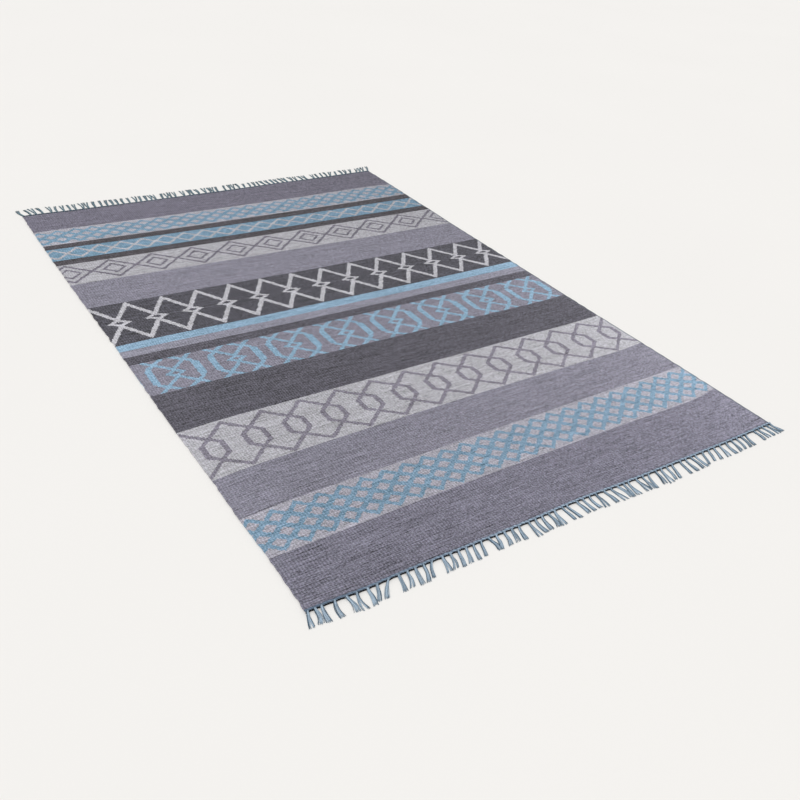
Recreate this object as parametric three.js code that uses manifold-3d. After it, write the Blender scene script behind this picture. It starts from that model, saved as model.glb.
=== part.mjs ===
// A flat-woven kilim rug lying on a floor: one woven panel with a knotted fringe at each end.
// Millimetres, +Z up. X runs across the rug and Y along it, from the near end to the far end.
// The origin is on the floor, under the middle of the woven panel.
import * as THREE from "three";
import Module from "manifold-3d";

const wasm = await Module();
wasm.setup();

// The woven panel
const PANEL_WIDTH = 1600;
const PANEL_LENGTH = 2300;
const CLOTH_THICKNESS = 4;
const COLUMNS = 32; // steps across the panel
const SELVEDGE_DROP = 1.2; // the side edges are thinner than the middle by this much

// The cloth's top rises and falls a little where the weave was beaten harder or softer.
const RIPPLE_HEIGHT = 0.5;
const RIPPLE_ACROSS = 640; // one ripple's length across the rug
const RIPPLE_ALONG = 410; // one ripple's length along the rug

// The fringe
const PIECE_GAP = 0.3; // between the panel and each fringe
const BRAID_WIDTH = 5.4; // the braided row, measured along the rug
const BRAID_HEIGHT = 5.2;
const BRAID_BEVEL = 1.5; // takes the corners off the braided row's top

// One row for each woven line across the rug, from the near end to the far end.
// along: its distance from the near end, at mid width. left, right: how far each side edge
// stands to the right of a straight one. skew: the line's rise in mm per metre of width.
// bow: its bend in mm per square metre, about mid width. ahead: an end's own shift.
const SECTIONS = [
  { along: 0, left: -1.8, right: 1.4, skew: -5.5, bow: 0, ahead: -2 },
  { along: 188, left: 1, right: 1.9, skew: 11.5, bow: -7.6, ahead: 0 },
  { along: 344, left: -1.4, right: 2.5, skew: 12, bow: -8.1, ahead: 0 },
  { along: 513, left: 0.4, right: 1.4, skew: 12.8, bow: -9.5, ahead: 0 },
  { along: 729, left: -1.2, right: -1, skew: 8.7, bow: -3.1, ahead: 0 },
  { along: 911, left: -1.5, right: -1.5, skew: -3.2, bow: 2.8, ahead: 0 },
  { along: 1091, left: -0.2, right: -2, skew: 2.4, bow: 3.3, ahead: 0 },
  { along: 1134, left: -0.7, right: -2.6, skew: 1, bow: 10.3, ahead: 0 },
  { along: 1175, left: -0.5, right: -1.7, skew: 3.4, bow: 4.8, ahead: 0 },
  { along: 1218, left: 0.1, right: 0.1, skew: 5.4, bow: 6.1, ahead: 0 },
  { along: 1468, left: -1, right: -2.2, skew: -12.8, bow: 11.1, ahead: 0 },
  { along: 1648, left: -1.4, right: -3.4, skew: -14, bow: 4.7, ahead: 0 },
  { along: 1809, left: 0.6, right: 0.2, skew: -9.5, bow: 14.4, ahead: 0 },
  { along: 1853, left: -0.5, right: 0.1, skew: -8.5, bow: 9.5, ahead: 0 },
  { along: 1947, left: 0.5, right: 0.8, skew: -9.1, bow: 17.3, ahead: 0 },
  { along: 1990, left: 0.9, right: 1.4, skew: -2.8, bow: 11.9, ahead: 0 },
  { along: 2125, left: 1.9, right: 2.2, skew: 1.4, bow: 25.5, ahead: 0 },
  { along: PANEL_LENGTH, left: 4.3, right: -0.1, skew: 10, bow: 14, ahead: -2.5 },
];

// The near end is pulled in a little near mid width.
const PULL_IN = { across: 800, depth: 5, width: 130, fades_by: 188 };

// One row for each run of tassels, from left to right. first, last: where the run's end
// tassels leave the braided row, from the left side edge. lean_first, lean_last: how far
// those two tassels' tips lie to the right of their roots. reach: from woven edge to tip.
const NEAR_TASSELS = [
  { first: 4, last: 38, count: 3, lean_first: -8, lean_last: -6, reach: 53 },
  { first: 70, last: 153, count: 4, lean_first: -7, lean_last: -10, reach: 56 },
  { first: 178, last: 210, count: 2, lean_first: -20, lean_last: -33, reach: 52 },
  { first: 237, last: 283, count: 3, lean_first: -12, lean_last: -11, reach: 57 },
  { first: 306, last: 330, count: 2, lean_first: -18, lean_last: -22, reach: 55 },
  { first: 360, last: 475, count: 6, lean_first: -12, lean_last: -17, reach: 55 },
  { first: 497, last: 594, count: 5, lean_first: -4, lean_last: -13, reach: 56 },
  { first: 626, last: 715, count: 5, lean_first: -1, lean_last: -6, reach: 57 },
  { first: 741, last: 757, count: 2, lean_first: 5, lean_last: 8, reach: 58 },
  { first: 792, last: 861, count: 4, lean_first: 5, lean_last: -2, reach: 57 },
  { first: 890, last: 938, count: 3, lean_first: 5, lean_last: 11, reach: 59 },
  { first: 962, last: 979, count: 2, lean_first: -8, lean_last: -5, reach: 60 },
  { first: 1008, last: 1057, count: 3, lean_first: 2, lean_last: -15, reach: 61 },
  { first: 1085, last: 1152, count: 4, lean_first: -11, lean_last: -17, reach: 61 },
  { first: 1186, last: 1250, count: 4, lean_first: -9, lean_last: -1, reach: 62 },
  { first: 1280, last: 1355, count: 4, lean_first: -20, lean_last: -13, reach: 59 },
  { first: 1386, last: 1478, count: 5, lean_first: -8, lean_last: -14, reach: 60 },
  { first: 1515, last: 1557, count: 3, lean_first: 1, lean_last: 3, reach: 57 },
  { first: 1578, last: 1595, count: 2, lean_first: 12, lean_last: 11, reach: 54 },
];
const FAR_TASSELS = [
  { first: 6, last: 78, count: 4, lean_first: -14, lean_last: -9, reach: 64 },
  { first: 109, last: 209, count: 5, lean_first: 3, lean_last: 2, reach: 61 },
  { first: 234, last: 336, count: 5, lean_first: 3, lean_last: 7, reach: 62 },
  { first: 355, last: 475, count: 6, lean_first: 3, lean_last: 8, reach: 61 },
  { first: 497, last: 538, count: 3, lean_first: 6, lean_last: 3, reach: 60 },
  { first: 568, last: 626, count: 4, lean_first: 11, lean_last: 6, reach: 60 },
  { first: 665, last: 730, count: 4, lean_first: 9, lean_last: 3, reach: 64 },
  { first: 765, last: 820, count: 4, lean_first: 5, lean_last: 9, reach: 62 },
  { first: 857, last: 920, count: 4, lean_first: 13, lean_last: 8, reach: 63 },
  { first: 947, last: 1022, count: 4, lean_first: 14, lean_last: 5, reach: 61 },
  { first: 1055, last: 1144, count: 5, lean_first: -6, lean_last: -4, reach: 61 },
  { first: 1167, last: 1215, count: 3, lean_first: -5, lean_last: 2, reach: 61 },
  { first: 1244, last: 1271, count: 2, lean_first: -3, lean_last: -6, reach: 61 },
  { first: 1303, last: 1371, count: 4, lean_first: 8, lean_last: 12, reach: 62 },
  { first: 1388, last: 1453, count: 3, lean_first: 26, lean_last: 12, reach: 62 },
  { first: 1471, last: 1528, count: 3, lean_first: 22, lean_last: 30, reach: 61 },
  { first: 1555, last: 1594, count: 3, lean_first: 24, lean_last: 28, reach: 66 },
];

// A tassel is a flat bunch of yarns, tight at the root and spread at the tip.
// share: the way from the woven edge to the tip.
const TASSEL_SECTIONS = [
  { share: 0.05, width: 5, height: 4.2 },
  { share: 0.16, width: 5, height: 4.4 },
  { share: 0.6, width: 7.5, height: 3.2 },
  { share: 1, width: 10.5, height: 2.4 },
];
const TASSEL_TOP_SHARE = 0.62; // a tassel's top is this share as wide as its foot

// Each tassel differs a little from its run: lean and reach each vary by up to this much.
const LEAN_VARIES = 3;
const REACH_VARIES = 2.5;

const blend = (from, to, share) => from + (to - from) * share;

// A number from -1 to 1 that looks random but is the same every time.
function scatter(index, salt) {
  const wave = Math.sin(index * 12.9898 + salt * 78.233) * 43758.5453;
  return 2 * (wave - Math.floor(wave)) - 1;
}

// The row of SECTIONS at any distance along the rug, blended between its neighbours.
function sectionAt(along) {
  const next = Math.max(1, SECTIONS.findIndex((row) => row.along >= along));
  const [before, after] = [SECTIONS[next - 1], SECTIONS[next]];
  const share = (along - before.along) / (after.along - before.along);
  const names = Object.keys(before);
  return Object.fromEntries(names.map((name) => [name, blend(before[name], after[name], share)]));
}

// Where a point of the flat cloth lies on the floor.
function place(across, along) {
  const row = sectionAt(along);
  const offset = across - PANEL_WIDTH / 2;
  const metres = offset / 1000;
  const pull = Math.exp(-(((across - PULL_IN.across) / PULL_IN.width) ** 2));
  const fade = Math.max(0, 1 - along / PULL_IN.fades_by);
  return {
    x: offset + blend(row.left, row.right, across / PANEL_WIDTH),
    y:
      along - PANEL_LENGTH / 2 + row.ahead + row.skew * metres + row.bow * metres ** 2 +
      PULL_IN.depth * pull * fade,
  };
}

// The height of the cloth's top above the floor.
function topHeight(across, along) {
  const wave =
    Math.sin((2 * Math.PI * across) / RIPPLE_ACROSS) *
    Math.cos((2 * Math.PI * along) / RIPPLE_ALONG);
  const onSelvedge = across === 0 || across === PANEL_WIDTH;
  return CLOTH_THICKNESS + RIPPLE_HEIGHT * wave - (onSelvedge ? SELVEDGE_DROP : 0);
}

function geometryFrom(positions, triangles) {
  const geometry = new THREE.BufferGeometry();
  geometry.setAttribute("position", new THREE.Float32BufferAttribute(positions, 3));
  geometry.setIndex(Array.from(triangles));
  geometry.computeVertexNormals();
  return geometry;
}

// A closed slab on a grid of rows and columns: an uneven top over a flat underside.
function panelGeometry() {
  const positions = [];
  for (const onTop of [true, false]) {
    for (const { along } of SECTIONS) {
      for (let column = 0; column <= COLUMNS; column += 1) {
        const across = (PANEL_WIDTH * column) / COLUMNS;
        const { x, y } = place(across, along);
        positions.push(x, y, onTop ? topHeight(across, along) : 0);
      }
    }
  }
  const perRow = COLUMNS + 1;
  const underside = perRow * SECTIONS.length;
  const lastRow = SECTIONS.length - 1;
  const at = (row, column) => row * perRow + column;
  const triangles = [];
  const quad = (a, b, c, d) => triangles.push(a, b, c, a, c, d);
  for (let row = 0; row < lastRow; row += 1) {
    for (let column = 0; column < COLUMNS; column += 1) {
      const corners = [
        at(row, column),
        at(row, column + 1),
        at(row + 1, column + 1),
        at(row + 1, column),
      ];
      quad(...corners);
      quad(...corners.reverse().map((corner) => corner + underside));
    }
  }
  // The rim, counter-clockwise from above, joins the top to the underside.
  const rim = [];
  for (let column = 0; column < COLUMNS; column += 1) rim.push(at(0, column));
  for (let row = 0; row < lastRow; row += 1) rim.push(at(row, COLUMNS));
  for (let column = COLUMNS; column > 0; column -= 1) rim.push(at(lastRow, column));
  for (let row = lastRow; row > 0; row -= 1) rim.push(at(row, 0));
  rim.forEach((corner, index) => {
    const next = rim[(index + 1) % rim.length];
    quad(corner, corner + underside, next + underside, next);
  });
  return geometryFrom(positions, triangles);
}

// A closed solid through rings of points, each ring counter-clockwise seen from ahead.
function loft(rings) {
  const size = rings[0].length;
  const triangles = [];
  for (let ring = 0; ring + 1 < rings.length; ring += 1) {
    for (let corner = 0; corner < size; corner += 1) {
      const [a, b] = [ring * size + corner, ring * size + ((corner + 1) % size)];
      triangles.push(a, b, b + size, a, b + size, a + size);
    }
  }
  const last = (rings.length - 1) * size;
  for (let corner = 1; corner + 1 < size; corner += 1) {
    triangles.push(0, corner + 1, corner);
    triangles.push(last, last + corner, last + corner + 1);
  }
  return new wasm.Manifold(
    new wasm.Mesh({
      numProp: 3,
      vertProperties: new Float32Array(rings.flat(2)),
      triVerts: new Uint32Array(triangles),
    }),
  );
}

// The braided row: a bevelled bar that follows the woven edge. way: 1 at the far end, -1 near.
function braid(along, way) {
  const rings = [];
  for (let column = 0; column <= COLUMNS; column += 1) {
    const { x, y } = place((PANEL_WIDTH * column) / COLUMNS, along);
    const inner = y + way * PIECE_GAP;
    const outer = inner + way * BRAID_WIDTH;
    const [low, high] = [Math.min(inner, outer), Math.max(inner, outer)];
    const shoulder = BRAID_HEIGHT - BRAID_BEVEL;
    rings.push([
      [x, low, 0],
      [x, high, 0],
      [x, high, shoulder],
      [x, high - BRAID_BEVEL, BRAID_HEIGHT],
      [x, low + BRAID_BEVEL, BRAID_HEIGHT],
      [x, low, shoulder],
    ]);
  }
  return loft(rings);
}

// One flat tassel from inside the braided row to its tip.
function tassel(across, along, way, lean, reach) {
  const root = place(across, along);
  const start = PIECE_GAP + BRAID_WIDTH / 2;
  const rings = TASSEL_SECTIONS.map(({ share, width, height }) => {
    const x = root.x + lean * share;
    const y = root.y + way * Math.max(start, reach * share);
    const [foot, top] = [width / 2, (width / 2) * TASSEL_TOP_SHARE];
    const ring = [
      [x - top, y, height],
      [x + top, y, height],
      [x + foot, y, 0],
      [x - foot, y, 0],
    ];
    return way > 0 ? ring : ring.reverse();
  });
  return loft(rings);
}

// The braided row and all its tassels, joined into one comb.
function fringeGeometry(along, way, runs) {
  const positions = runs.flatMap((run) =>
    Array.from({ length: run.count }, (_, index) => {
      const share = index / (run.count - 1);
      return {
        across: blend(run.first, run.last, share),
        lean: blend(run.lean_first, run.lean_last, share),
        reach: run.reach,
      };
    }),
  );
  const comb = positions
    .map(({ across, lean, reach }, index) =>
      tassel(
        across,
        along,
        way,
        lean + LEAN_VARIES * scatter(index, 1),
        reach + REACH_VARIES * scatter(index, 2),
      ),
    )
    .reduce((joined, tooth) => joined.add(tooth), braid(along, way));
  const { vertProperties, triVerts } = comb.getMesh();
  return geometryFrom(vertProperties, triVerts);
}

const wovenYarn = new THREE.MeshStandardMaterial({
  color: 0x858392,
  roughness: 0.95,
  metalness: 0,
});
const fringeYarn = new THREE.MeshStandardMaterial({
  color: 0x7d93a6,
  roughness: 0.95,
  metalness: 0,
});

function piece(name, geometry, material) {
  const mesh = new THREE.Mesh(geometry, material);
  mesh.name = name;
  return mesh;
}

const rug = new THREE.Group();
rug.add(piece("woven_panel", panelGeometry(), wovenYarn));
rug.add(piece("fringe_near", fringeGeometry(0, -1, NEAR_TASSELS), fringeYarn));
rug.add(piece("fringe_far", fringeGeometry(PANEL_LENGTH, 1, FAR_TASSELS), fringeYarn));

export default rug;
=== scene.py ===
import math
import random
from bisect import bisect_right
from collections import namedtuple
from functools import lru_cache

import bmesh
import bpy
from mathutils import Euler, Matrix, Vector, noise


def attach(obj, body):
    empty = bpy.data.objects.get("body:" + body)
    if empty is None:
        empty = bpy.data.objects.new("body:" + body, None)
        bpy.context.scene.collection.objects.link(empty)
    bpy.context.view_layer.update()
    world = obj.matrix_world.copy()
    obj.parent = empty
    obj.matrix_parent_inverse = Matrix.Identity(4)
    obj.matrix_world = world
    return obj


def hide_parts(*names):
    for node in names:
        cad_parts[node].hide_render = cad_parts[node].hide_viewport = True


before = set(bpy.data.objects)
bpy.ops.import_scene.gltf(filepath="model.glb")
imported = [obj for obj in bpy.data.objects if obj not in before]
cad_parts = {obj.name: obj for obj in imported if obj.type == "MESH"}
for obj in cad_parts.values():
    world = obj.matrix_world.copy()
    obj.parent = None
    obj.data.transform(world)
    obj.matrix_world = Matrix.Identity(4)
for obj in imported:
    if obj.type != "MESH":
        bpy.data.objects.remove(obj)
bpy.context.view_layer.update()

MM = 0.001

# Camera: its place and its clip distances are in metres, and its turn is in degrees.
CAMERA_PLACE = (-1.47527, -2.29015, 1.43495)
CAMERA_TURN = (56.45, -5.4631, -33.5637)
CAMERA_LENS = 39.646
CAMERA_CLIP_START = 0.05
CAMERA_CLIP_END = 100

# Light: a broad soft key from the near left, and an even white surround. Both angles are in
# degrees.
KEY_TURN = (42, 0, -35)
KEY_SPREAD = 60
KEY_STRENGTH = 1.34
WORLD_STRENGTH = 0.775

# Floor: half its width, in metres
FLOOR_REACH = 30

# Woven panel
PANEL_WIDTH = 1600
PANEL_LENGTH = 2300
PANEL_TOP = 4.0
PANEL_THICKNESS = 3.1
PANEL_COLUMNS = 160
PANEL_ROWS = 230
RIPPLE_HEIGHT = 0.5
RIPPLE_ACROSS = 640
RIPPLE_ALONG = 410
UNEVEN_HEIGHT = 0.25
UNEVEN_LENGTH = 90

# One row for each woven line across the rug: its distance from the near end, how far the left
# and the right edge stand to the right of a straight one, the line's rise in mm per metre of
# width, its bend in mm per metre squared, its own shift, and how far ahead its left and its
# right end stand.
SECTIONS = [
    (0, -0.4, 1.2, -5.5, 0, -7.5, 0, 0),
    (188, 3.7, 2.4, 9.1, -15, 3.4, 0, 16),
    (344, 0.5, 3, 12.9, -7.1, 3.4, -6, 1),
    (513, 2.5, 1.9, 12.6, -15.5, 3.2, -7, 10),
    (729, -0.1, -0.5, 8.8, -0.1, 1.6, -6, 3),
    (911, 0, -1, -2.6, -1.7, 3.2, -2, 8),
    (1091, 1.4, -1.5, 3.7, 0.7, 2.9, 0, 1),
    (1134, 1.1, -2.1, 1.4, 10.1, 0.6, 0, -1),
    (1175, 1.6, -1.7, 3.7, 6.6, 1.3, -1, 2),
    (1218, 2.4, -0.3, 7.6, 5.4, 0.7, -2, 2),
    (1468, 0.7, -1.7, -12.7, 7.7, 1.4, 0, 2),
    (1648, -0.1, -2.4, -13.2, 10.6, 0.8, -3, -2),
    (1809, 1.3, 1.2, -8.4, 13, 1.9, -1, -3),
    (1853, 0.3, 0.3, -7.6, 8.8, 2.2, -1, -1),
    (1947, 1.8, 0, -8.8, 18, 1, -1, 0),
    (1990, 2.1, 1, -2.5, 10, 2.2, 1, 1),
    (2125, 3.4, 1.7, 2.1, 25, 0, -5, -12),
    (2300, 7.3, -0.5, 10, 14, -2.5, 0, 0),
]
# One row for each place where an end's edge stands ahead of a smooth one: which end, its
# distance across, how far ahead and how wide. It fades out within about the plain band.
EDGE_WAVES = [
    (0, 150, -3, 70),
    (0, 800, 5, 130),
    (0, 1600, 4.5, 130),
    (2300, 60, 4, 110),
    (2300, 1100, 3.5, 110),
]
EDGE_WAVES_FADE = 180
# How far in from a side edge a line's own end still shows.
LINE_END_WIDTH = 75
# The side edges are uneven, each in its own way, and the unevenness fades out inwards.
EDGE_UNEVEN = 3.2
EDGE_UNEVEN_LENGTH = 24
EDGE_UNEVEN_DEPTH = 50
EDGE_UNEVEN_LANE = 40

# One row for each run of tassels: where its first and last tassel leave the cord, how many
# there are, how far those two tips lie to the right of their roots, and the run's reach from
# the woven edge.
NEAR_TASSELS = [
    (4, 38, 3, -10, -6, 48.5),
    (70, 98, 2, -6, 5, 50),
    (125, 153, 2, -7, -10, 51.5),
    (178, 210, 2, -20, -33, 47.5),
    (237, 283, 3, -12, -11, 50),
    (306, 330, 2, -18, -22, 48),
    (360, 475, 6, -12, -17, 48),
    (497, 521, 2, 4, -15, 44),
    (546, 594, 3, -8, -13, 47.5),
    (626, 715, 5, -1, -6, 51.5),
    (741, 757, 2, 5, 8, 52),
    (792, 861, 4, 5, -2, 51),
    (890, 938, 3, 5, 11, 52.5),
    (962, 979, 2, -8, -5, 53.5),
    (1008, 1057, 3, 2, -15, 54.5),
    (1085, 1152, 4, -11, -17, 54.5),
    (1186, 1250, 4, -9, -1, 53.5),
    (1280, 1355, 4, -20, -13, 49.5),
    (1386, 1478, 5, -8, -14, 50),
    (1515, 1557, 3, 1, 3, 47.5),
    (1578, 1595, 2, 12, 11, 45),
]
FAR_TASSELS = [
    (10, 32, 2, -14, -12, 71),
    (54, 78, 2, -12, -9, 75),
    (109, 209, 5, 3, 2, 72),
    (234, 336, 5, 3, 7, 75),
    (355, 475, 6, 3, 8, 71),
    (497, 538, 3, 6, 3, 70),
    (568, 626, 4, 11, 6, 70),
    (665, 730, 4, 9, 3, 72),
    (765, 820, 4, 5, 9, 70),
    (857, 920, 4, 13, 8, 71),
    (947, 1022, 4, 14, 5, 64),
    (1055, 1144, 5, -6, -4, 64),
    (1167, 1215, 3, -5, 2, 64),
    (1244, 1271, 2, -3, -6, 64),
    (1303, 1371, 4, 8, 12, 65),
    (1388, 1453, 3, 26, 12, 63),
    (1471, 1528, 3, 22, 30, 62),
    (1555, 1594, 3, 24, 28, 67),
]
LEAN_VARIES = 3
REACH_VARIES = 2.5

# Cord along each end, with painted shadow below the near one: a dark tube that stands in for the
# shade under the cord and on the cloth's edge. Each cord's own pair says how far outside the woven
# edge its middle lies, and how high.
CORD_TWIST = 12.5
CORD_PLY_RADIUS = 1.7
CORD_TURN_RADIUS = 1.3
CORD_ARCH = 1.0
CORD_RETREAT = 1.0
CORD_RINGS_PER_TWIST = 10
CORD_SIDES = 6
NEAR_CORD = (0.2, 4.9)
FAR_CORD = (2.4, 3.0)
# The painted shadow's dark tube: its size, lift, and how far out it lies from the woven edge.
PAINTED_SHADOW_RADIUS = 1.9
PAINTED_SHADOW_THINNEST = 0.35
PAINTED_SHADOW_LIFT = 0.2
PAINTED_SHADOW_OUT = 3.6
PAINTED_SHADOW_RETREAT = 2.0
PAINTED_SHADOW_RINGS = 640
PAINTED_SHADOW_SIDES = 6
OVERHANG = 1

# A cord's shade, from 0 to 1, is darkest at its left end. Its second ply is paler.
CORD_SHADE_AT_LEFT = 0.05
CORD_SHADE_RISE = 2.3
CORD_SHADE_MOST = 0.9
CORD_SHADE_VARIES = 0.12
CORD_SHADE_PATCHES = 90
FIRST_PLY_SHADE = 0.3
SECOND_PLY_PALER = 0.65

# Tassels
STRAND_RADIUS = 0.62
STRAND_RINGS = 8
STRAND_SIDES = 5
STRANDS = 14
ROOT_HALF_WIDTH = 2.5
ROOT_OUT = 1.0
ROOT_DROPS_BY = 9

# What one tassel's strands share: its half width, how far its two halves part, its bend to the
# right, and how much longer than its run it is cut.
Tassel = namedtuple("Tassel", "half_width parting bend cut")
TASSEL_BENDS = (-3, -1, 0, 2, 4)
TASSEL_CUT_VARIES = 2
TASSEL_PARTS_FROM = 0.3
TASSEL_WIDTH_AT_LEFT = 1.15
TASSEL_WIDTH_LOST_TO_RIGHT = 0.2

# How one end's tassels look: the seed of their draws, their narrowest and widest half width,
# the partings to draw from, the height of their roots, and the first tassel where it is special.
TasselLook = namedtuple("TasselLook", "seed half_widths partings root_height first")
CORNER_CURL = Tassel(half_width=8, parting=0, bend=-6, cut=1)
NEAR_LOOK = TasselLook(3, (4.9, 7.5), (0, 0, 0, 0, 3, 6), 4.4, None)
FAR_LOOK = TasselLook(8, (4.0, 6.0), (0, 0, 4, 6, 9), 1.2, CORNER_CURL)

# Strands taper at their tips. They differ in length, in curl, in how far the few stray ones
# stray, and in shade. The sides of a tassel are darker than its middle: painted shade.
STRAND_TAPER = 0.4
STRAND_TAPER_FROM = 0.85
STRAND_TAPER_LENGTH = 0.15
STRAND_CUT = (-2.5, 1.5)
STRAND_CURL = 0.7
STRAND_STRAYS = (0, 0, 0, 0, 0, 0, 1)
STRAND_STRAY_REACH = 4
STRAND_SHADE = 1.12
STRAND_SHADE_VARIES = (-0.45, 0.3)
STRAND_SHADE_BY_THREES = 0.25
STRAND_SHADE_LOST_TO_RIGHT = 0.16

# Selvedges. Each rim waves up and down, sways to the sides and swells a little along its way.
# Its colours come from a narrow strip of the cloth's map.
SELVEDGE_RADIUS = 1.9
SELVEDGE_INSET = 1.5
SELVEDGE_LIFT = 0.4
SELVEDGE_WAVE = 0.25
SELVEDGE_WAVE_LENGTH = 23
SELVEDGE_SWAY = 0.8
SELVEDGE_SWAY_LENGTH = 13
SELVEDGE_SWELL = 0.07
SELVEDGE_SWELL_RATE = 0.8
SELVEDGE_RINGS = 460
SELVEDGE_SIDES = 8
SELVEDGE_MAP_WIDTH = 0.003

# Tubes are made upright, this far apart, and then laid. A path's direction is taken over a step
# to each side.
TUBE_PITCH = 4
PATH_STEP = 0.0005
CLOTH_MAP = "cloth"
BAKE_MAP = "OFBake"

# Surfaces are matt.
SHEEN_ROUGHNESS = 0.5
SPECULAR_LEVEL = 0.2


def blend(start, end, share):
    return start + (end - start) * share


def scatter(index, salt):
    """A number from -1 to 1 that looks random but is the same every time."""
    wave = math.sin(index * 12.9898 + salt * 78.233) * 43758.5453
    return 2 * (wave - math.floor(wave)) - 1


@lru_cache(maxsize=None)
def section_at(along):
    """The row of SECTIONS at a distance along the rug, blended between its neighbours."""
    for before, after in zip(SECTIONS, SECTIONS[1:]):
        if along <= after[0]:
            break
    share = (along - before[0]) / (after[0] - before[0])
    return [blend(start, end, share) for start, end in zip(before, after)]


def place(across, along):
    """Where a point of the flat cloth lies on the floor."""
    _, left, right, skew, bow, ahead, left_end, right_end = section_at(along)
    offset = across - PANEL_WIDTH / 2
    metres = offset / 1000
    for end, middle, depth, width in EDGE_WAVES:
        fade = max(0, 1 - abs(along - end) / EDGE_WAVES_FADE)
        ahead += depth * fade * math.exp(-(((across - middle) / width) ** 2))
    ahead += left_end * math.exp(-((across / LINE_END_WIDTH) ** 2))
    ahead += right_end * math.exp(-(((PANEL_WIDTH - across) / LINE_END_WIDTH) ** 2))
    inside = min(across, PANEL_WIDTH - across)
    near_edge = max(0, 1 - max(inside, 0) / EDGE_UNEVEN_DEPTH)
    lane = math.copysign(EDGE_UNEVEN_LANE, offset)
    uneven = noise.noise(Vector((along / EDGE_UNEVEN_LENGTH, lane, 0)))
    return (
        offset + blend(left, right, across / PANEL_WIDTH) + EDGE_UNEVEN * near_edge * uneven,
        along - PANEL_LENGTH / 2 + ahead + skew * metres + bow * metres**2,
    )


def top_height(across, along):
    """The height of the cloth's top above the floor."""
    wave = math.sin(math.tau * across / RIPPLE_ACROSS) * math.cos(math.tau * along / RIPPLE_ALONG)
    uneven = noise.noise(Vector((across / UNEVEN_LENGTH, along / UNEVEN_LENGTH, 0)))
    return PANEL_TOP + RIPPLE_HEIGHT * wave + UNEVEN_HEIGHT * uneven


# Materials


class Value:
    """A socket of a material's nodes, for use in expressions."""

    def __init__(self, finish, socket):
        self.finish = finish
        self.socket = socket

    def math(self, operation, *values):
        sockets = dict(enumerate(values))
        return self.finish.node("ShaderNodeMath", {"operation": operation}, sockets)

    def __add__(self, other):
        return self.math("ADD", self, other)

    def __radd__(self, other):
        return self.math("ADD", other, self)

    def __sub__(self, other):
        return self.math("SUBTRACT", self, other)

    def __rsub__(self, other):
        return self.math("SUBTRACT", other, self)

    def __mul__(self, other):
        return self.math("MULTIPLY", self, other)

    def __rmul__(self, other):
        return self.math("MULTIPLY", other, self)

    def __truediv__(self, other):
        return self.math("DIVIDE", self, other)

    def __rtruediv__(self, other):
        return self.math("DIVIDE", other, self)

    def __abs__(self):
        return self.math("ABSOLUTE", self)

    def __lt__(self, other):
        return self.math("LESS_THAN", self, other)

    def __gt__(self, other):
        return self.math("GREATER_THAN", self, other)

    def floor(self):
        return self.math("FLOOR", self)

    def cosine(self):
        return self.math("COSINE", self)

    def larger(self, other):
        return self.math("MAXIMUM", self, other)

    def smaller(self, other):
        return self.math("MINIMUM", self, other)

    def fold(self, period):
        """The distance to the nearest multiple of a period."""
        return self.math("PINGPONG", self, period / 2)

    def output(self, name):
        """Another output of the node that this value comes from."""
        return Value(self.finish, self.socket.node.outputs[name])


class Finish:
    """A material made of nodes."""

    def __init__(self, name):
        self.material = bpy.data.materials.new(name)
        self.material.use_nodes = True
        self.tree = self.material.node_tree
        self.tree.nodes.clear()

    def node(self, kind, settings, sockets):
        """A new node: its settings first, then the values or links of its sockets."""
        made = self.tree.nodes.new(kind)
        stops = settings.pop("stops", None)
        for name, value in settings.items():
            setattr(made, name, value)
        if stops:
            made.color_ramp.interpolation = "CONSTANT"
            while len(made.color_ramp.elements) < len(stops):
                made.color_ramp.elements.new(1)
            for element, (position, colour) in zip(made.color_ramp.elements, stops):
                element.position = position
                element.color = colour
        for name, value in sockets.items():
            if isinstance(value, Value):
                self.tree.links.new(value.socket, made.inputs[name])
            else:
                made.inputs[name].default_value = value
        return Value(self, made.outputs[0]) if made.outputs else None

    def position(self, *values):
        """A place from its three coordinates."""
        return self.node("ShaderNodeCombineXYZ", {}, dict(enumerate(values)))

    def clouds(self, place, detail=1.0):
        """Soft random values about 0.5, with features about one unit of the place in size."""
        sockets = {"Vector": place, "Scale": 1.0, "Detail": detail}
        return self.node("ShaderNodeTexNoise", {}, sockets)

    def noise(self, place, detail=1.0):
        """The same about 0."""
        return self.clouds(place, detail) - 0.5

    def dice(self, place):
        """An even random value from 0 to 1 for each whole-number place."""
        return self.node("ShaderNodeTexWhiteNoise", {}, {"Vector": place}).output("Value")

    def mix(self, share, first, second, how="MIX"):
        """A colour from the first to the second, by share."""
        mixed = self.node("ShaderNodeMix", {"data_type": "RGBA", "blend_type": how}, {0: share})
        sockets = mixed.socket.node.inputs
        for socket, value in ((sockets[6], first), (sockets[7], second)):
            if isinstance(value, Value):
                self.tree.links.new(value.socket, socket)
            else:
                socket.default_value = value
        return Value(self, mixed.socket.node.outputs[2])

    def scale(self, colour, factor):
        """A colour made lighter or darker by a factor."""
        settings = {"operation": "SCALE"}
        return self.node("ShaderNodeVectorMath", settings, {0: colour, "Scale": factor})

    def vector(self, operation, *values):
        """Maths on colours, channel by channel."""
        sockets = dict(enumerate(values))
        return self.node("ShaderNodeVectorMath", {"operation": operation}, sockets)

    def surface(self, colour, roughness, height, relief, sheen):
        """The surface itself. Its height is in millimetres, and its relief a share of that."""
        bump = self.node("ShaderNodeBump", {}, {"Strength": relief, "Distance": MM, "Height": height})
        surface = self.node(
            "ShaderNodeBsdfPrincipled",
            {},
            {
                "Base Color": colour,
                "Roughness": roughness,
                "Sheen Weight": sheen,
                "Sheen Roughness": SHEEN_ROUGHNESS,
                "Specular IOR Level": SPECULAR_LEVEL,
                "Normal": bump,
            },
        )
        self.node("ShaderNodeOutputMaterial", {}, {"Surface": surface})
        return self.material


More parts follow.
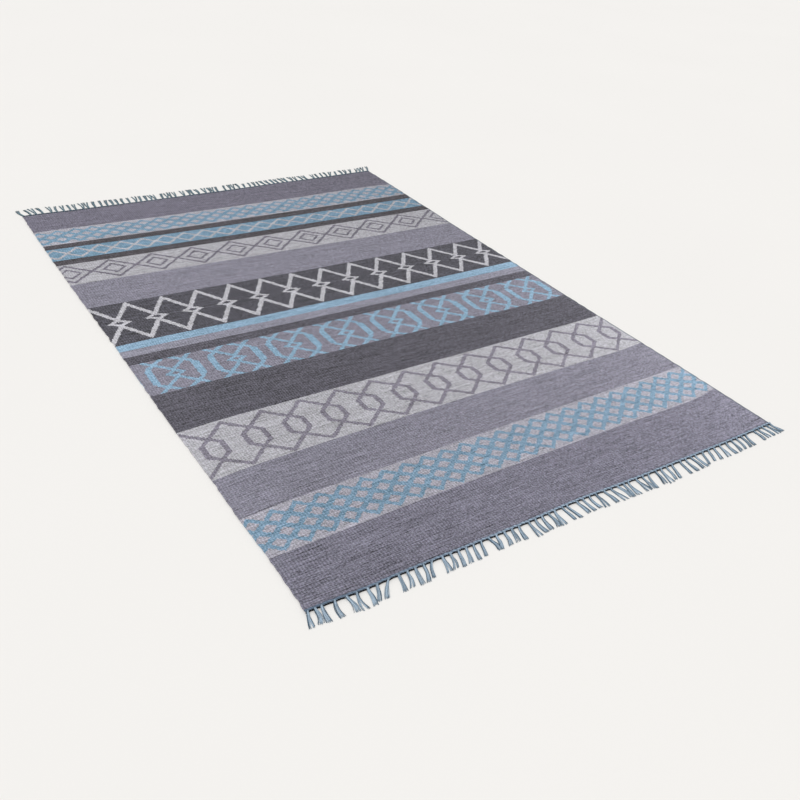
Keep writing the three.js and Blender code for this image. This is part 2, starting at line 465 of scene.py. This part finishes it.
def dye(red, green, blue):
    """A dyed yarn's colour from its screen values, 0 to 255."""

    def linear(level):
        level = level / 255
        return level / 12.92 if level < 0.04045 else ((level + 0.055) / 1.055) ** 2.4

    return (linear(red), linear(green), linear(blue), 1)


MAUVE_GREY = dye(119, 117, 131)
MAUVE_GREY_MIDDLE = dye(127, 125, 138)
MAUVE_GREY_STRIPE = dye(134, 133, 146)
MAUVE_GREY_PALE = dye(126, 124, 137)
MAUVE_GREY_FAR = dye(105, 102, 116)
CHARCOAL = dye(83, 81, 90)
CHARCOAL_DEEP = dye(72, 71, 79)
CHARCOAL_LINE = dye(81, 79, 88)
CHARCOAL_FAR = dye(67, 63, 68)
PALE_GREY = dye(170, 169, 175)
PALE_GREY_BRIGHT = dye(179, 178, 184)
PALE_GREY_FAR = dye(165, 164, 170)
GREIGE = dye(162, 160, 170)
GREIGE_MIDDLE = dye(126, 124, 137)
GREIGE_FAR = dye(159, 158, 167)
LINE_MAUVE = dye(124, 120, 132)
LINE_GREY = dye(107, 103, 115)
STEEL_BLUE = dye(119, 147, 169)
STEEL_BLUE_PALE = dye(132, 161, 184)
STEEL_BLUE_MIDDLE = dye(130, 161, 184)
STEEL_BLUE_FAR = dye(108, 139, 161)
RIM_BLUE = dye(62, 82, 100)

# Yarn dyes: where the yarn is pale, where it is dark, and at its tips.
CORD_DYES = (dye(168, 186, 204), dye(88, 104, 124), dye(96, 130, 160))
FAR_CORD_DYES = (dye(98, 110, 124), dye(56, 72, 86), dye(60, 76, 90))
# Painted shadow: near-black colours for the dark tube under the near cord.
PAINTED_SHADOW_DYES = (dye(22, 24, 28), dye(18, 20, 24), dye(18, 20, 24))
NEAR_DYES = (dye(176, 195, 211), dye(54, 80, 100), dye(50, 70, 86))
FAR_DYES = (dye(122, 148, 160), dye(22, 48, 62), dye(28, 54, 66))

FLOOR_PALE = dye(236, 234, 231)
FLOOR_DEEP = dye(234, 232, 229)

# One row for each band: where it ends, its ground colour and its motif's colour.
BANDS = [
    (188, MAUVE_GREY, MAUVE_GREY),
    (344, GREIGE, STEEL_BLUE),
    (513, MAUVE_GREY_MIDDLE, MAUVE_GREY_MIDDLE),
    (729, PALE_GREY, LINE_MAUVE),
    (911, CHARCOAL, CHARCOAL),
    (1091, GREIGE_MIDDLE, STEEL_BLUE_MIDDLE),
    (1134, CHARCOAL_LINE, CHARCOAL_LINE),
    (1175, MAUVE_GREY_STRIPE, MAUVE_GREY_STRIPE),
    (1218, STEEL_BLUE_PALE, STEEL_BLUE_PALE),
    (1468, CHARCOAL_DEEP, PALE_GREY_BRIGHT),
    (1648, MAUVE_GREY_PALE, MAUVE_GREY_PALE),
    (1809, PALE_GREY_FAR, LINE_GREY),
    (1853, CHARCOAL_FAR, CHARCOAL_FAR),
    (1947, STEEL_BLUE_FAR, PALE_GREY_FAR),
    (1990, CHARCOAL_FAR, CHARCOAL_FAR),
    (2125, GREIGE_FAR, STEEL_BLUE_FAR),
    (2300, MAUVE_GREY_FAR, MAUVE_GREY_FAR),
]

# Weave: warps run along the rug, and picks of weft cross them.
WARP = 4.1
RIB = 8.2
PICK = 1.7

# Layers of uneven weaving: the length of each one's features across the rug and along it, and
# the level at which its noise is cut.
WANDER = (60, 40, 3.0)
UNSTEADY = (13, 9, 11.0)
SWAY = (16, 12, 17.0)
BAND_EDGE = (9, 30, 7.0)
STRIPES = (700, 8, 0.0)
STREAKS = (150, 2.1, 0.0)
SLUBS = (50, 2.1, 5.0)
SPECKLE = (2.6, 2.6, 9.0)
LONG_PICKS = (200, 2.4, 27.0)
RIB_PATCHES = (130, 50, 13.0)
TINTS = (5, 4, 21.0)
FLECK_WIDTH = 2.7
FLECK_LENGTH = 4.5
FLECK_LEVEL = 41.0

# How far the lines of motifs and bands move with these layers, and from warp to warp.
WANDER_BY = 6
UNSTEADY_BY = 9
SWAY_BY = 9
BAND_EDGE_BY = 3
WARP_UNEVEN_BY = 1.6

# How strongly the layers show in the yarn's shade, and from which value the slubs and the long
# picks show.
STREAK_SHADE = 1.5
GRAIN_SHADE = 0.78
SPECKLE_SHADE = 0.45
RIB_SHADE = 0.12
RIB_PATCH_SHADE = 0.35
STRIPE_SHADE = 0.3
DARK_SLUB_SHADE = 0.34
DARK_SLUB_FROM = 0.15
PALE_SLUB_SHADE = 0.16
PALE_SLUB_FROM = -0.17
LONG_PICK_SHADE = 0.7
LONG_PICK_FROM = 0.14
TINT_SHARE = 0.07
DARKEST = 0.012

# The shade adds or takes away a colour part way from the dye to mauve grey, so that pale and
# dark dyes have much the same grain.
SHADE_GREYNESS = 0.45

# How far from the near end the flecks, and the near left part's stronger grain, fade out.
FLECKS_REACH = 1200
NEAR_LEFT_REACH = 600

# The cloth's right edge has a blue-grey rim.
RIM_WIDTH = 4.5
RIM_SHARE = 0.65

# Loose yarn: its mottling, and where its tips begin.
MOTTLES_PER_METRE = 450.0
MOTTLE_SHADE = 0.6
MOTTLE_HEIGHT = 0.3
TIP_FROM = 0.85
TIP_RISE = 6
TIP_SHARE = 0.7


# Motifs. Each is charted as a rule on the distances x across the rug and y along it,
# and is 1 on its lines. The numbers are its chart: where it is mirrored, its repeat in warps,
# and the slopes, places and half widths of its lines.


def lattice(x, y, first, top, drop):
    """Four half-drop rows of small diamonds in a net, with a zigzag edge above and below."""
    half = 8 * WARP
    aside = (x - first).fold(2 * half) / half
    row = (top - y) / drop
    net = abs(aside + row.fold(2) - 1) < 0.37
    inside = abs(row - aside - 1) < 2.19
    return net * inside


def chain(x, y):
    """Linked hexagon rings whose lines cross between them."""
    aside = (x - 61.5).fold(30 * WARP)
    rise = abs(y - 620)
    ring = abs(((aside - 29.5) / 8.8).larger((rise + aside * 0.78 - 46) / 7.8)) < 1
    crossing = abs(rise - aside * 0.85 - 45.5) < 7.8
    return ring.larger(crossing)


def interlace(x, y):
    """Pairs of upright bars, laced through a small diamond between them."""
    aside = (x - 111).fold(48 * WARP)
    rise = abs(y - 1001)
    bar = (abs(aside - 73) < 11) * (rise + aside * 0.9 < 112.5)
    from_bar = (abs(rise + aside * 0.785 - 102.3) < 8.4) * (aside < 74)
    from_diamond = abs(rise - aside * 0.966 - 20) < 8.6
    diamond = abs(rise + aside * 0.66 - 16) < 7
    return bar.larger(from_bar).larger(from_diamond).larger(diamond)


def zigzag(x, y):
    """Two mirrored zigzags that cross through small diamonds."""
    half = 15 * WARP
    aside = (x + 1).fold(2 * half)
    rise = abs(y - 1345.5)
    arm = abs(rise + aside * 1.5 - 111) < 13.5
    diamond = abs(rise + (half - aside) * 0.55 - 16) < 6
    return (arm * (rise < 122)).larger(diamond)


def nested_diamonds(x, y):
    """A row of touching diamonds, each with a smaller one inside."""
    aside = (x - 22).fold(38 * WARP)
    rise = abs(y - 1731.5)
    outer = abs(rise + aside * 0.87 - 67.5) < 6.8
    inner = abs(rise + aside * 0.92 - 35) < 6.2
    return outer.larger(inner)


def crossing_lines(x, y):
    """Two zigzag lines that cross between rows of open diamonds."""
    aside = (x - 22.5).fold(20 * WARP)
    return abs(abs(y - 1902) + aside * 0.88 - 36) < 6.8


def between(value, low, high):
    """1 where a value lies between two others."""
    return (value > low) * (value < high)


def woven_finish():
    """Weft-faced weave in bands, with each band's motif."""
    made = Finish("woven_yarn")
    cloth = made.node("ShaderNodeUVMap", {"uv_map": CLOTH_MAP}, {})
    flat = made.node("ShaderNodeSeparateXYZ", {}, {0: cloth})
    across = flat * PANEL_WIDTH
    along = flat.output("Y") * PANEL_LENGTH

    def stretched(layer):
        """The place in a layer of uneven weaving."""
        length_across, length_along, level = layer
        return made.position(across / length_across, along / length_along, level)

    # The motifs step from warp to warp and pick to pick, and wander a little. Their repeats
    # spread a little unevenly across the rug, and aside runs from -1 at its left to 1.
    warp = (across / WARP).floor()
    wander = made.noise(stretched(WANDER)) * WANDER_BY
    unsteady = made.noise(stretched(UNSTEADY)) * UNSTEADY_BY
    sway = made.noise(stretched(SWAY)) * SWAY_BY
    uneven = made.dice(made.position(warp, 0.0, 3.0)) * WARP_UNEVEN_BY
    pick = ((along + wander + unsteady + uneven) / PICK).floor()
    aside = across / (PANEL_WIDTH / 2) - 1
    spread = ((aside * 7.2 + 8.1) * aside - 1.2) * aside - 3.5
    x = (((across - spread + sway) / WARP).floor() + 0.5) * WARP
    y = (pick + 0.5) * PICK
    motif = (
        lattice(x, y, 80.5, 307, 27) * between(along, 188, 344)
        + chain(x, y) * between(along, 513, 729)
        + interlace(x, y) * between(along, 911, 1091)
        + zigzag(x, y) * between(along, 1218, 1468)
        + nested_diamonds(x, y) * between(along, 1648, 1809)
        + crossing_lines(x, y) * between(along, 1853, 1947)
        + lattice(x, y, 80, 2087, 26.7) * between(along, 1999, 2125)
    )

    band_edge = made.noise(stretched(BAND_EDGE)) * BAND_EDGE_BY
    passed = sum((along + band_edge) > end for end, _, _ in BANDS[:-1])
    band = (passed + 0.5) / len(BANDS)
    grounds = [(number / len(BANDS), ground) for number, (_, ground, _) in enumerate(BANDS)]
    motifs = [(number / len(BANDS), line) for number, (_, _, line) in enumerate(BANDS)]
    ground = made.node("ShaderNodeValToRGB", {"stops": grounds}, {"Fac": band})
    line = made.node("ShaderNodeValToRGB", {"stops": motifs}, {"Fac": band})
    colour = made.mix(motif, ground, line)

    # Uneven yarn: long faint stripes, streaks along the weft, single darker or lighter picks,
    # grain from warp to warp, flecks, and ribs that show in patches. It shows most at the near
    # end's left, which also has a few long dark picks. The strengths change a little across the
    # rug and along it.
    stripes = made.noise(stretched(STRIPES))
    streaks = made.noise(stretched(STREAKS))
    slubs = made.noise(stretched(SLUBS))
    grain = made.dice(made.position(warp, (along / PICK).floor(), 0.0)) - 0.5
    speckle = made.noise(stretched(SPECKLE))
    long_picks = made.noise(stretched(LONG_PICKS))
    fleck_across = (across / FLECK_WIDTH).floor()
    fleck_along = (along / FLECK_LENGTH).floor()
    flecks = made.dice(made.position(fleck_across, fleck_along, FLECK_LEVEL)) - 0.5
    fleck_depth = (1 - along / FLECKS_REACH).larger(0) * (0.3 + aside * 0.35) + 0.15
    rib = (across * (math.tau / RIB)).cosine()
    patches = made.noise(stretched(RIB_PATCHES))
    near_left = (0 - aside).larger(0) * (1 - along / NEAR_LEFT_REACH).larger(0)
    shade = (
        streaks * (STREAK_SHADE - aside * 0.1)
        + grain * (GRAIN_SHADE + aside * 0.1 + along / 6000 + rib * 0.25)
        + flecks * fleck_depth
        + speckle * SPECKLE_SHADE
        + rib * (RIB_SHADE + patches * RIB_PATCH_SHADE)
        + stripes * STRIPE_SHADE
        - (slubs > DARK_SLUB_FROM) * (DARK_SLUB_SHADE - aside * 0.08)
        + (slubs < PALE_SLUB_FROM) * PALE_SLUB_SHADE
        - (long_picks > LONG_PICK_FROM) * near_left * LONG_PICK_SHADE
    )
    shade = shade * (0.98 + near_left * 0.26)

    # Painted light: the colours grow paler to the right at the near end, and darker to the right at
    # the far end. They are also painted paler along both side edges of the near half.
    edge_light = (aside * aside) * (aside * aside) * (6 - along / 250).smaller(1).larger(0)
    fade = 1 + aside * (0.17 - along / 7190) + edge_light * 0.17
    colour = made.scale(colour, fade)
    depth = made.mix(SHADE_GREYNESS, colour, MAUVE_GREY)
    colour = made.vector("MULTIPLY_ADD", depth, shade, colour)
    colour = made.vector("MAXIMUM", colour, (DARKEST, DARKEST, DARKEST))
    tints = made.clouds(stretched(TINTS)).output("Color")
    colour = made.mix(TINT_SHARE, colour, tints, "OVERLAY")
    rim = across > PANEL_WIDTH - RIM_WIDTH
    colour = made.mix(rim * RIM_SHARE, colour, RIM_BLUE)

    # Each weft passes over one warp and under the next, so the ribs are beaded. The factors
    # are heights in millimetres.
    bead = ((across / WARP + pick) * math.pi).cosine()
    weft = ((along + wander) * (math.tau / PICK)).cosine()
    height = rib * 0.2 + bead * 0.06 + weft * 0.04 + motif * 0.3 + streaks * 0.3 + grain * 0.15
    return made.surface(colour, roughness=0.92, height=height, relief=0.8, sheen=0.1)


def yarn_finish(name, pale, dark, tip):
    """Loose or twisted yarn. Its map holds the yarn's own shade, and the way along it."""
    made = Finish(name)
    yarn = made.node("ShaderNodeUVMap", {"uv_map": CLOTH_MAP}, {})
    own_shade = made.node("ShaderNodeSeparateXYZ", {}, {0: yarn})
    way = own_shade.output("Y")
    position = made.node("ShaderNodeTexCoord", {}, {}).output("Object")
    mottle = made.noise(made.scale(position, MOTTLES_PER_METRE), 2.0)
    colour = made.mix(own_shade, dark, pale)
    at_tip = (way - TIP_FROM) * TIP_RISE
    colour = made.mix(at_tip.larger(0.0) * TIP_SHARE, colour, tip)
    colour = made.scale(colour, 1 + mottle * MOTTLE_SHADE)
    height = mottle * MOTTLE_HEIGHT
    return made.surface(colour, roughness=0.9, height=height, relief=0.5, sheen=0.1)


# Shapes


def new_piece(name, shape, material):
    """An object from a bmesh, riding on the rug's one body."""
    mesh = bpy.data.meshes.new(name)
    shape.to_mesh(mesh)
    shape.free()
    mesh.materials.append(material)
    piece = bpy.data.objects.new(name, mesh)
    bpy.context.collection.objects.link(piece)
    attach(piece, "root")
    return piece


def new_shape():
    """An empty bmesh with the two maps that every piece has."""
    shape = bmesh.new()
    shape.loops.layers.uv.new(CLOTH_MAP)
    shape.loops.layers.uv.new(BAKE_MAP)
    return shape


# A yarn's path gives the place, in millimetres, at a share of the way, and its radius the tube's
# radius there. cloth_at and bake_at give the two maps' places at a share of the way and of the
# width.
Yarn = namedtuple("Yarn", "path radius cloth_at bake_at")


def straight_tubes(count, rings, sides):
    """Closed tubes along Z, from 0 to 1, that stand side by side along X."""
    shape = new_shape()
    for number in range(count):
        stand = Matrix.Translation((number * TUBE_PITCH, 0, 0.5))
        bmesh.ops.create_cone(
            shape, segments=sides, radius1=1, radius2=1, depth=1, cap_ends=True, matrix=stand
        )
    upright = [edge for edge in shape.edges if abs(edge.verts[0].co.z - edge.verts[1].co.z) > 0.5]
    bmesh.ops.subdivide_edges(shape, edges=upright, cuts=rings - 2, use_grid_fill=True)
    return shape


def lay(shape, yarns):
    """Lays each straight tube along its own yarn's path."""
    cloth = shape.loops.layers.uv[CLOTH_MAP]
    bake = shape.loops.layers.uv[BAKE_MAP]
    rings = {}
    ways = {}
    for point in shape.verts:
        number = round(point.co.x / TUBE_PITCH)
        share = round(min(max(point.co.z, 0), 1), 5)
        yarn = yarns[number]
        if (number, share) not in rings:
            before = yarn.path(max(share - PATH_STEP, 0))
            after = yarn.path(min(share + PATH_STEP, 1))
            forward = (after - before).normalized()
            side = forward.cross(Vector((0, 0, 1))).normalized()
            rings[number, share] = (yarn.path(share), side, side.cross(forward), yarn.radius(share))
        middle, side, up, size = rings[number, share]
        right = point.co.x - number * TUBE_PITCH
        ways[point] = (number, share, 0.5 + right / 2)
        point.co = (middle + side * (right * size) + up * (point.co.y * size)) * MM
    for face in shape.faces:
        face.smooth = len(face.verts) == 4
        for loop in face.loops:
            number, share, width = ways[loop.vert]
            loop[cloth].uv = yarns[number].cloth_at(share, width)
            loop[bake].uv = yarns[number].bake_at(share, width)
    return shape


def bake_strip(share, width):
    """The bake map's place for a tube that has the map to itself."""
    return (0.1 + 0.8 * width, share)


def woven_panel(material):
    """The one sheet of cloth, with its pattern's map across it and along it."""
    shape = new_shape()
    bmesh.ops.create_grid(shape, x_segments=PANEL_COLUMNS, y_segments=PANEL_ROWS, size=0.5)
    cloth = shape.loops.layers.uv[CLOTH_MAP]
    bake = shape.loops.layers.uv[BAKE_MAP]
    for face in shape.faces:
        face.smooth = True
        for loop in face.loops:
            share = (loop.vert.co.x + 0.5, loop.vert.co.y + 0.5)
            loop[cloth].uv = share
            loop[bake].uv = share
    for point in shape.verts:
        across = (point.co.x + 0.5) * PANEL_WIDTH
        along = (point.co.y + 0.5) * PANEL_LENGTH
        x, y = place(across, min(along, PANEL_LENGTH))
        point.co = Vector((x, y, top_height(across, along))) * MM
    piece = new_piece("woven_rug", shape, material)
    thickness = piece.modifiers.new("thickness", "SOLIDIFY")
    thickness.thickness = PANEL_THICKNESS * MM
    thickness.offset = -1
    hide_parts("woven_panel")
    return piece


def selvedge(name, across, material):
    """The turned edge of the weave: a thin rounded rim along one side."""
    inward = 1 if across == 0 else -1

    def path(share):
        along = share * PANEL_LENGTH
        x, y = place(across + inward * SELVEDGE_INSET, along)
        sway = SELVEDGE_SWAY * noise.noise(Vector((along / SELVEDGE_SWAY_LENGTH, across, 0)))
        wave = SELVEDGE_WAVE * math.sin(along / SELVEDGE_WAVE_LENGTH)
        return Vector((x + sway, y, SELVEDGE_RADIUS + SELVEDGE_LIFT + wave))

    def radius(share):
        swell = SELVEDGE_SWELL * math.sin(share * PANEL_LENGTH * SELVEDGE_SWELL_RATE)
        return SELVEDGE_RADIUS * (0.96 + swell)

    def cloth_at(share, width):
        return (across / PANEL_WIDTH + (width - 0.5) * SELVEDGE_MAP_WIDTH, share)

    rim = Yarn(path, radius, cloth_at, bake_strip)
    tube = straight_tubes(1, SELVEDGE_RINGS, SELVEDGE_SIDES)
    piece = new_piece(name, lay(tube, [rim]), material)
    return piece


def tassels_of(runs):
    """Each tassel of one end: where it leaves the cord, its lean and its reach."""
    tassels = []
    for first, last, count, lean_first, lean_last, reach in runs:
        for step in range(count):
            share = step / (count - 1)
            index = len(tassels)
            tassels.append((
                blend(first, last, share),
                blend(lean_first, lean_last, share) + LEAN_VARIES * scatter(index, 1),
                reach + REACH_VARIES * scatter(index, 2),
            ))
    return tassels


def cord_across(share):
    """The distance across at a share of the cord, which overhangs the cloth at both corners."""
    return blend(-OVERHANG, PANEL_WIDTH + OVERHANG, share)


def cord_holds(tassels):
    """Where the cord is held: at its two ends and at each tassel."""
    return [-OVERHANG] + [across for across, _, _ in tassels] + [PANEL_WIDTH + OVERHANG]


def arch_between(roots, across):
    """0 where a tassel leaves the cord, and 1 half way to the next one."""
    after = min(max(bisect_right(roots, across), 1), len(roots) - 1)
    gap = max(roots[after] - roots[after - 1], 1)
    return math.sin(math.pi * min(max((across - roots[after - 1]) / gap, 0), 1))


def cord(name, along, way, seat, tassels, material):
    """The twisted cord along one end, arched a little from tassel to tassel."""
    out, height = seat
    roots = cord_holds(tassels)

    def ply_shade(share):
        patches = noise.noise(Vector((share * CORD_SHADE_PATCHES, along, 0)))
        rise = min(CORD_SHADE_AT_LEFT + share * CORD_SHADE_RISE, CORD_SHADE_MOST)
        return rise + CORD_SHADE_VARIES * patches

    def ply(number):
        own_shade = FIRST_PLY_SHADE + SECOND_PLY_PALER * number

        def path(share):
            across = cord_across(share)
            lift = arch_between(roots, across)
            x, y = place(across, along)
            middle = Vector((x, y + way * (out - CORD_RETREAT * lift), height + CORD_ARCH * lift))
            angle = math.tau * across / CORD_TWIST + number * math.pi
            return middle + Vector((0, math.cos(angle), math.sin(angle))) * CORD_TURN_RADIUS

        return Yarn(
            path,
            lambda share: CORD_PLY_RADIUS,
            lambda share, width: (ply_shade(share) * own_shade, 0.0),
            lambda share, width: (0.1 + 0.5 * number + 0.3 * width, share),
        )

    rings = round(PANEL_WIDTH / CORD_TWIST * CORD_RINGS_PER_TWIST)
    tubes = straight_tubes(2, rings, CORD_SIDES)
    piece = new_piece(name, lay(tubes, [ply(0), ply(1)]), material)
    return piece


def painted_shadow_row(name, along, way, tassels, material):
    """Painted shadow: a dark tube below the cord, against the edge of the cloth, standing in for the
    shade there.
    """
    roots = cord_holds(tassels)

    def radius(share):
        fullness = arch_between(roots, cord_across(share)) ** 0.5
        return PAINTED_SHADOW_RADIUS * blend(PAINTED_SHADOW_THINNEST, 1, fullness)

    def path(share):
        lift = arch_between(roots, cord_across(share))
        x, y = place(cord_across(share), along)
        out = PAINTED_SHADOW_OUT - PAINTED_SHADOW_RETREAT * lift
        return Vector((x, y + way * out, radius(share) + PAINTED_SHADOW_LIFT * lift))

    row = Yarn(path, radius, lambda share, width: (0.5, 0.0), bake_strip)
    tube = straight_tubes(1, PAINTED_SHADOW_RINGS, PAINTED_SHADOW_SIDES)
    piece = new_piece(name, lay(tube, [row]), material)
    return piece


def fringe(name, along, way, tassels, look, material):
    """The loose tassels of one end, each a flat bundle of yarn that frays towards its tip."""
    dice = random.Random(look.seed)
    count = len(tassels) * STRANDS

    # Each strand has its own cell of the bake map, with four times as many columns as rows.
    columns = math.ceil(math.sqrt(count * 4))
    rows = math.ceil(count / columns)

    def strand(number, root, lean, reach, tassel):
        """One strand, at its rank from -1 at the tassel's left to 1, in one of three layers."""
        rank = (number % STRANDS + 0.5) / STRANDS * 2 - 1
        order = number % 3
        own_reach = reach + tassel.cut + dice.uniform(*STRAND_CUT)
        curl = dice.uniform(-STRAND_CURL, STRAND_CURL)
        strays = dice.choice(STRAND_STRAYS)
        stray = strays * dice.uniform(-STRAND_STRAY_REACH, STRAND_STRAY_REACH)
        phase = dice.uniform(0, math.tau)
        # Painted shade: strands nearer a tassel's sides are darker.
        shade = STRAND_SHADE - abs(rank) ** 1.4 + dice.uniform(*STRAND_SHADE_VARIES)
        shade += STRAND_SHADE_BY_THREES * scatter(number // 3, 5)
        shade -= STRAND_SHADE_LOST_TO_RIGHT * (number / count) ** 2
        column, row = number % columns, number // columns

        def path(share):
            open_out = blend(ROOT_HALF_WIDTH, tassel.half_width, share**0.8)
            parted = tassel.parting / 2 * max(0, share - TASSEL_PARTS_FROM)
            parted /= 1 - TASSEL_PARTS_FROM
            out = blend(ROOT_OUT, own_reach, share)
            drop = 1 - min(out / ROOT_DROPS_BY, 1) ** 3
            x = (
                root[0] + lean * share + tassel.bend * math.sin(math.pi * share)
                + rank * open_out + math.copysign(parted, rank)
                + curl * math.sin(math.tau * share + phase) + stray * share**2
            )
            y = root[1] + way * out
            layer = STRAND_RADIUS * (1 + 1.5 * order * (1 - 0.5 * share))
            return Vector((x, y, layer + look.root_height * drop))

        def radius(share):
            taper = STRAND_TAPER * max(0, share - STRAND_TAPER_FROM) / STRAND_TAPER_LENGTH
            return STRAND_RADIUS * (1 - taper)

        return Yarn(
            path,
            radius,
            lambda share, width: (min(max(shade, 0), 1), share),
            lambda share, width: (
                (column + 0.15 + 0.7 * width) / columns,
                (row + 0.02 + 0.96 * share) / rows,
            ),
        )

    strands = []
    for across, lean, reach in tassels:
        widening = TASSEL_WIDTH_AT_LEFT - TASSEL_WIDTH_LOST_TO_RIGHT * across / PANEL_WIDTH
        tassel = Tassel(
            half_width=dice.uniform(*look.half_widths) * widening,
            parting=dice.choice(look.partings),
            bend=dice.choice(TASSEL_BENDS),
            cut=dice.uniform(-TASSEL_CUT_VARIES, TASSEL_CUT_VARIES),
        )
        if look.first and not strands:
            tassel = look.first
        for _ in range(STRANDS):
            strands.append(strand(len(strands), place(across, along), lean, reach, tassel))
    tubes = straight_tubes(len(strands), STRAND_RINGS, STRAND_SIDES)
    piece = new_piece(name, lay(tubes, strands), material)
    return piece


# Camera
view = bpy.data.cameras.new("view")
view.lens = CAMERA_LENS
view.clip_start = CAMERA_CLIP_START
view.clip_end = CAMERA_CLIP_END
camera = bpy.data.objects.new("camera", view)
camera.location = CAMERA_PLACE
camera.rotation_euler = Euler([math.radians(turn) for turn in CAMERA_TURN])
bpy.context.collection.objects.link(camera)
bpy.context.scene.camera = camera

# Rug
weave = woven_finish()
cord_yarn = yarn_finish("cord_yarn", *CORD_DYES)
far_cord_yarn = yarn_finish("far_cord_yarn", *FAR_CORD_DYES)
# Near-black material for the painted shadow under the near cord.
painted_shadow_yarn = yarn_finish("painted_shadow_yarn", *PAINTED_SHADOW_DYES)
near_yarn = yarn_finish("near_yarn", *NEAR_DYES)
far_yarn = yarn_finish("far_yarn", *FAR_DYES)
rug = woven_panel(weave)
edges = [
    selvedge("selvedge_left", 0, weave),
    selvedge("selvedge_right", PANEL_WIDTH, weave),
]
ends = []
for name, along, way, seat, runs, look, edge_yarn, yarn in (
    ("near", 0, -1, NEAR_CORD, NEAR_TASSELS, NEAR_LOOK, cord_yarn, near_yarn),
    ("far", PANEL_LENGTH, 1, FAR_CORD, FAR_TASSELS, FAR_LOOK, far_cord_yarn, far_yarn),
):
    tassels = tassels_of(runs)
    ends.append(cord(name + "_cord", along, way, seat, tassels, edge_yarn))
    if name == "near":
        # Only the near end has the dark tube of painted shadow under its cord.
        ends.append(painted_shadow_row("near_painted_shadow_row", along, way, tassels, painted_shadow_yarn))
    ends.append(fringe(name + "_tassels", along, way, tassels, look, yarn))
    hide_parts("fringe_" + name)
edges + ends

# Floor and light
floor_shape = bmesh.new()
bmesh.ops.create_grid(floor_shape, x_segments=1, y_segments=1, size=FLOOR_REACH)
floor_mesh = bpy.data.meshes.new("floor")
floor_shape.to_mesh(floor_mesh)
floor_shape.free()
floor = bpy.data.objects.new("floor", floor_mesh)
bpy.context.collection.objects.link(floor)
floor_finish = Finish("floor_finish")
floor_place = floor_finish.node("ShaderNodeTexCoord", {}, {}).output("Object")
floor_mottle = floor_finish.noise(floor_place)
floor_colour = floor_finish.mix(floor_mottle + 0.5, FLOOR_PALE, FLOOR_DEEP)
floor_mesh.materials.append(
    floor_finish.surface(floor_colour, roughness=0.9, height=floor_mottle, relief=0.0, sheen=0.0)
)

world = bpy.data.worlds.new("studio")
world.use_nodes = True
world.node_tree.nodes["Background"].inputs["Color"].default_value = (1, 1, 1, 1)
world.node_tree.nodes["Background"].inputs["Strength"].default_value = WORLD_STRENGTH
bpy.context.scene.world = world
bpy.context.scene.view_settings.view_transform = "Standard"

key = bpy.data.lights.new("key", "SUN")
key.energy = KEY_STRENGTH
key.angle = math.radians(KEY_SPREAD)
lamp = bpy.data.objects.new("key", key)
lamp.rotation_euler = Euler([math.radians(turn) for turn in KEY_TURN])
bpy.context.collection.objects.link(lamp)
